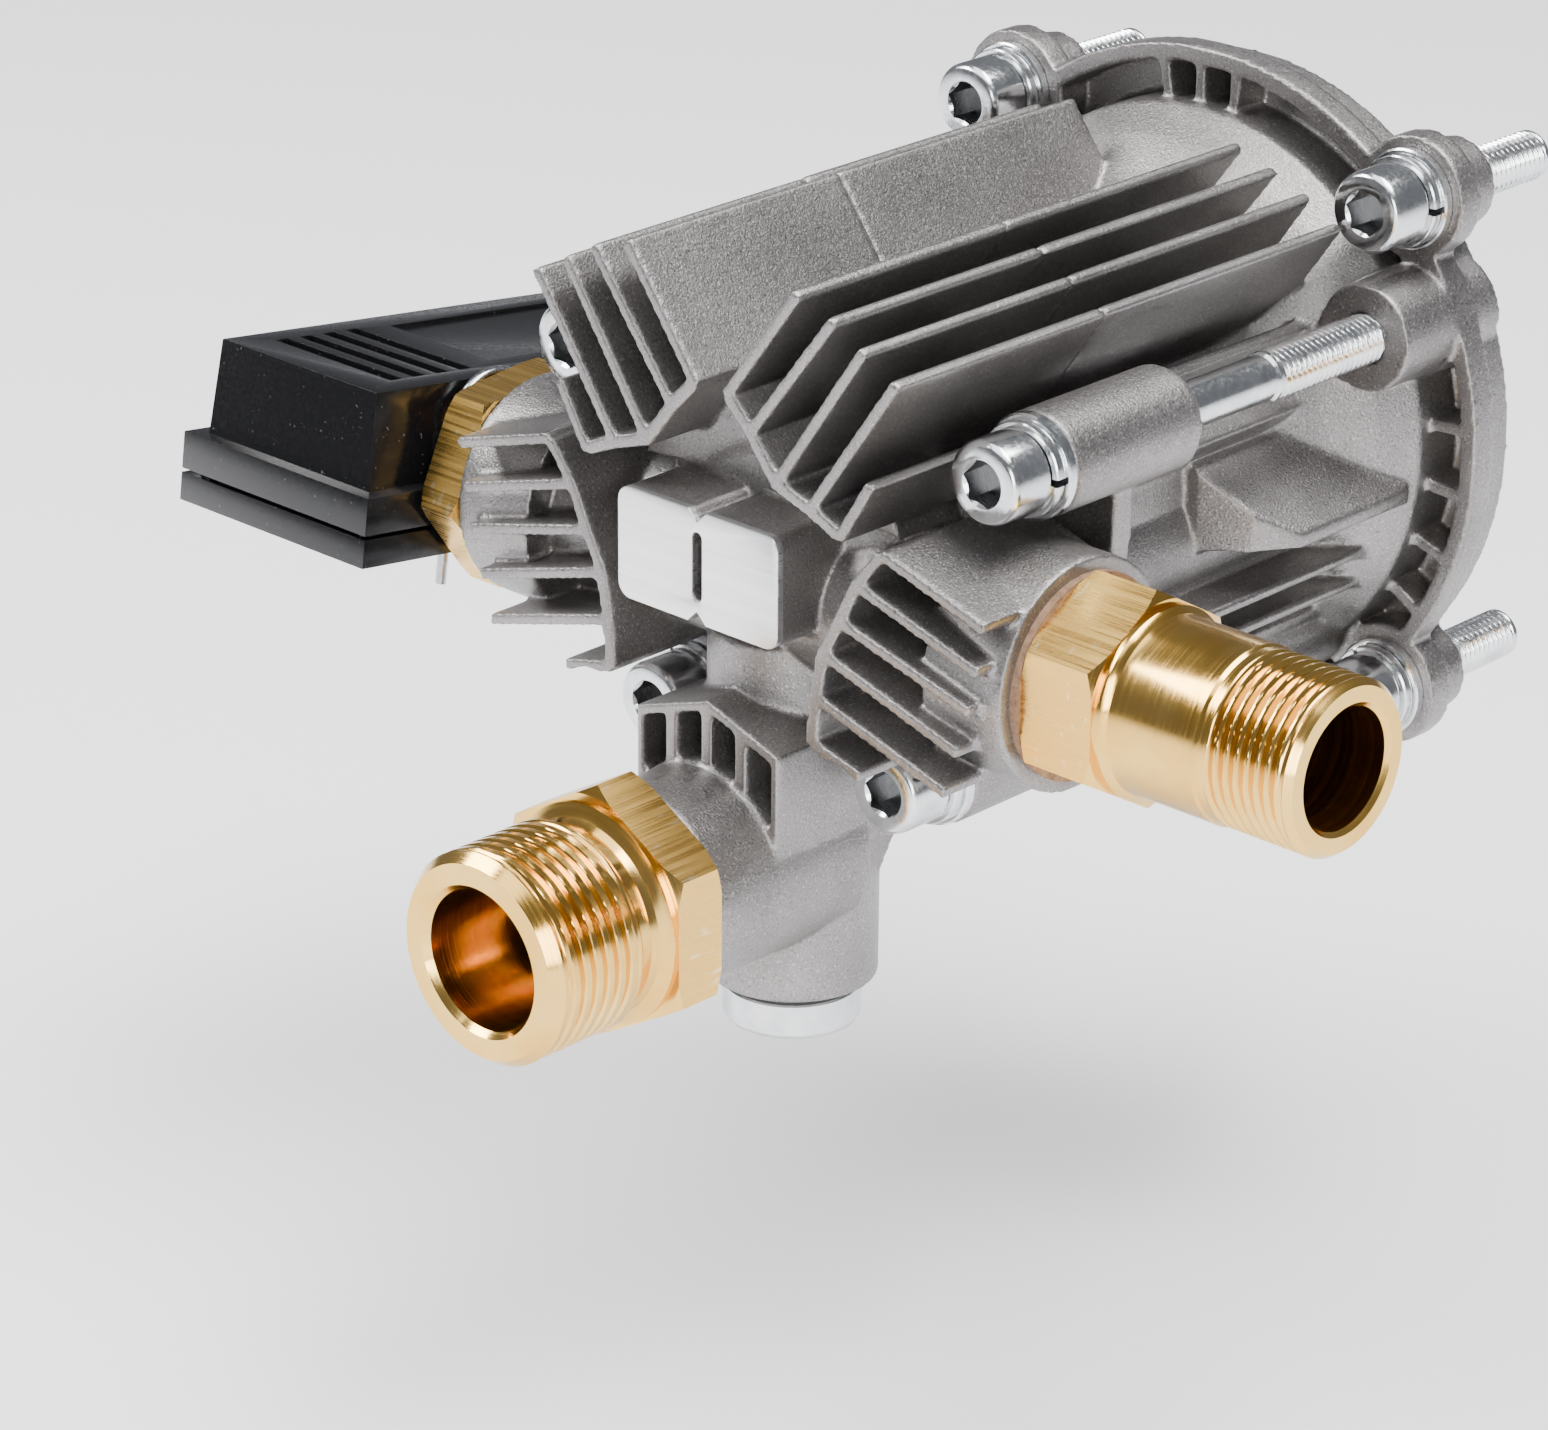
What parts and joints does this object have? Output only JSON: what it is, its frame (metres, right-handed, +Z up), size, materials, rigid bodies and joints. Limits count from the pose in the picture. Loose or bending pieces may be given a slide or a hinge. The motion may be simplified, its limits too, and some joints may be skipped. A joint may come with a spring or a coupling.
{
  "type": "axial plunger pump",
  "caption": "Flange-mounted axial plunger pump with finned aluminium head, brass ports at right angles and a pressure-operated switch box.",
  "frame": {"origin": "centre of the flange rear mounting face, on the drive shaft axis", "axes": "+Y along the shaft into the motor, +X towards the outlet fitting, +Z up"},
  "size_m": [0.2145, 0.194, 0.1367],
  "materials": {
    "cast_aluminium": "shot-blasted die casting",
    "zinc_steel": "bright zinc plate",
    "brass": "turned and milled brass",
    "fibre": "pressed fibre",
    "spring_steel": "drawn wire",
    "stainless": "turned stainless steel",
    "valve_plastic": "moulded acetal",
    "seal_rubber": "moulded nitrile rubber",
    "black_plastic": "moulded, satin gloss",
    "switch_plastic": "moulded",
    "button_red": "moulded",
    "bearing_steel": "ground steel",
    "plunger_ceramic": "polished ceramic sleeve",
    "guide_alloy": "machined"
  },
  "bodies": {
    "pump_body": {"rear_housing": "cast_aluminium", "pump_head": "cast_aluminium", "flange_bolts": "zinc_steel", "head_bolts": "zinc_steel", "spring_washers": "zinc_steel", "flat_washers": "zinc_steel", "outlet_fitting": "brass", "outlet_washer": "fibre", "check_valve_seat": "stainless", "check_valve_spring": "spring_steel", "inlet_fitting": "brass", "inlet_washer": "fibre", "inlet_strainer": "stainless", "bottom_plug": "zinc_steel", "bottom_plug_seal": "seal_rubber", "stop_valve_body": "brass", "stop_valve_seal": "seal_rubber", "stop_spring": "spring_steel", "bearing_outer_race": "bearing_steel", "bearing_balls": "bearing_steel", "shaft_seal": "seal_rubber", "plunger_springs": "spring_steel", "guide_plate": "guide_alloy", "oil_seals": "seal_rubber", "backup_rings": "brass", "water_seals": "seal_rubber", "inlet_valve_seats": "brass", "outlet_valve_seats": "brass", "inlet_valve_cages": "valve_plastic", "outlet_valve_cages": "valve_plastic", "inlet_valve_springs": "spring_steel", "outlet_valve_springs": "spring_steel"},
    "drive": {"drive_shaft": "bearing_steel", "swash_plate": "bearing_steel", "bearing_inner_race": "bearing_steel", "thrust_race": "bearing_steel", "thrust_balls": "bearing_steel"},
    "stop_piston": {"stop_piston": "stainless", "stop_piston_seal": "seal_rubber"},
    "switch_button": {"microswitch_button": "button_red"},
    "check_poppet": {"check_valve_poppet": "valve_plastic"},
    "switch_box": {"switch_box_base": "black_plastic", "switch_box_cover": "black_plastic", "switch_box_clip": "spring_steel", "microswitch": "switch_plastic", "cover_screws": "zinc_steel", "cable_grommet": "seal_rubber"},
    "plunger_1": {"plunger_1": "plunger_ceramic", "plunger_collar_1": "bearing_steel"},
    "inlet_valve_1": {"inlet_poppet_1": "valve_plastic"},
    "outlet_valve_1": {"outlet_poppet_1": "valve_plastic"},
    "plunger_2": {"plunger_2": "plunger_ceramic", "plunger_collar_2": "bearing_steel"},
    "inlet_valve_2": {"inlet_poppet_2": "valve_plastic"},
    "outlet_valve_2": {"outlet_poppet_2": "valve_plastic"},
    "plunger_3": {"plunger_3": "plunger_ceramic", "plunger_collar_3": "bearing_steel"},
    "inlet_valve_3": {"inlet_poppet_3": "valve_plastic"},
    "outlet_valve_3": {"outlet_poppet_3": "valve_plastic"}
  },
  "joints": [
    {"name": "shaft_spin", "type": "hinge", "parent": "pump_body", "child": "drive", "pos_m": [0, 0, 0], "axis": [0, 1, 0], "continuous": true},
    {"name": "plunger_1_stroke", "type": "slide", "parent": "pump_body", "child": "plunger_1", "axis": [0, -1, 0], "range_m": [0, 0.0075], "stiffness_N_per_m": 1200, "springref_m": -0.004, "deforming": ["plunger_springs"]},
    {"name": "plunger_2_stroke", "type": "slide", "parent": "pump_body", "child": "plunger_2", "axis": [0, -1, 0], "range_m": [0, 0.0075], "stiffness_N_per_m": 1200, "springref_m": -0.004},
    {"name": "plunger_3_stroke", "type": "slide", "parent": "pump_body", "child": "plunger_3", "axis": [0, -1, 0], "range_m": [0, 0.0075], "stiffness_N_per_m": 1200, "springref_m": -0.004},
    {"name": "inlet_valve_1_lift", "type": "slide", "parent": "pump_body", "child": "inlet_valve_1", "axis": [0, 1, 0], "range_m": [0, 0.0008], "stiffness_N_per_m": 60, "springref_m": -0.001, "deforming": ["inlet_valve_springs"]},
    {"name": "inlet_valve_2_lift", "type": "slide", "parent": "pump_body", "child": "inlet_valve_2", "axis": [0, 1, 0], "range_m": [0, 0.0008], "stiffness_N_per_m": 60, "springref_m": -0.001},
    {"name": "inlet_valve_3_lift", "type": "slide", "parent": "pump_body", "child": "inlet_valve_3", "axis": [0, 1, 0], "range_m": [0, 0.0008], "stiffness_N_per_m": 60, "springref_m": -0.001},
    {"name": "outlet_valve_1_lift", "type": "slide", "parent": "pump_body", "child": "outlet_valve_1", "axis": [0, -1, 0], "range_m": [0, 0.0015], "stiffness_N_per_m": 60, "springref_m": -0.001, "deforming": ["outlet_valve_springs"]},
    {"name": "outlet_valve_2_lift", "type": "slide", "parent": "pump_body", "child": "outlet_valve_2", "axis": [0, -1, 0], "range_m": [0, 0.0015], "stiffness_N_per_m": 60, "springref_m": -0.001},
    {"name": "outlet_valve_3_lift", "type": "slide", "parent": "pump_body", "child": "outlet_valve_3", "axis": [0, -1, 0], "range_m": [0, 0.0015], "stiffness_N_per_m": 60, "springref_m": -0.001},
    {"name": "check_valve_lift", "type": "slide", "parent": "pump_body", "child": "check_poppet", "axis": [1, 0, 0], "range_m": [0, 0.003], "stiffness_N_per_m": 80, "springref_m": -0.003, "deforming": ["check_valve_spring"]},
    {"name": "stop_piston_travel", "type": "slide", "parent": "pump_body", "child": "stop_piston", "axis": [-1, 0, 0], "range_m": [0, 0.0018], "stiffness_N_per_m": 400, "springref_m": -0.004, "deforming": ["stop_spring"]},
    {"name": "switch_button_travel", "type": "slide", "parent": "switch_box", "child": "switch_button", "axis": [-1, 0, 0], "range_m": [0, 0.0018]},
    {"name": "switch_box_swivel", "type": "hinge", "parent": "pump_body", "child": "switch_box", "pos_m": [-0.066, -0.1043, -0.007], "axis": [1, 0, 0], "range_deg": [-8, 8]}
  ],
  "couplings": [
    {"joint": "switch_button_travel", "follows": "stop_piston_travel", "ratio": 1}
  ]
}
